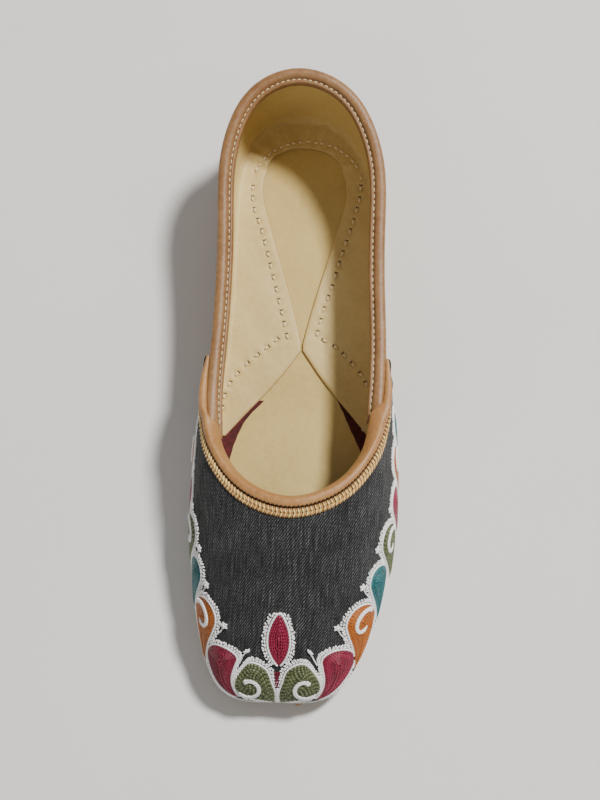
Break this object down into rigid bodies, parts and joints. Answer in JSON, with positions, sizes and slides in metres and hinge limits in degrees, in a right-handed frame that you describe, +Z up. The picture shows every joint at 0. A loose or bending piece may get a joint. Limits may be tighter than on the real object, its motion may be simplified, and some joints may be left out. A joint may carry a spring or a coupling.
{
  "type": "mojari shoe",
  "caption": "Flat slip-on mojari for the left foot: hollow leather upper with a cloth-faced vamp, low bound throat and collar, turned-in quarter leather, curved sole and low heel.",
  "frame": {"origin": "middle of the shoe's box in plan, on the floor plane that the heel and the tread stand on", "axes": "+Z up; +Y towards the heel, so the toe points to -Y; +X towards the outer side of the left foot"},
  "size_m": [0.081, 0.2496, 0.061],
  "materials": {
    "sole_leather": "matt vegetable-tanned leather",
    "lining_leather": "smooth beige lining leather",
    "charcoal_cloth": "charcoal twill with thread embroidery",
    "tan_leather": "smooth tan binding leather",
    "braid_thread": "whipped tan and gold thread"
  },
  "bodies": {
    "root": {"outsole": "sole_leather", "heel_lift": "sole_leather", "insole": "lining_leather", "upper": "lining_leather", "quarter_flaps": "lining_leather", "vamp_cover": "charcoal_cloth", "collar_binding": "tan_leather", "throat_binding": "tan_leather", "throat_braid": "braid_thread"}
  },
  "joints": []
}
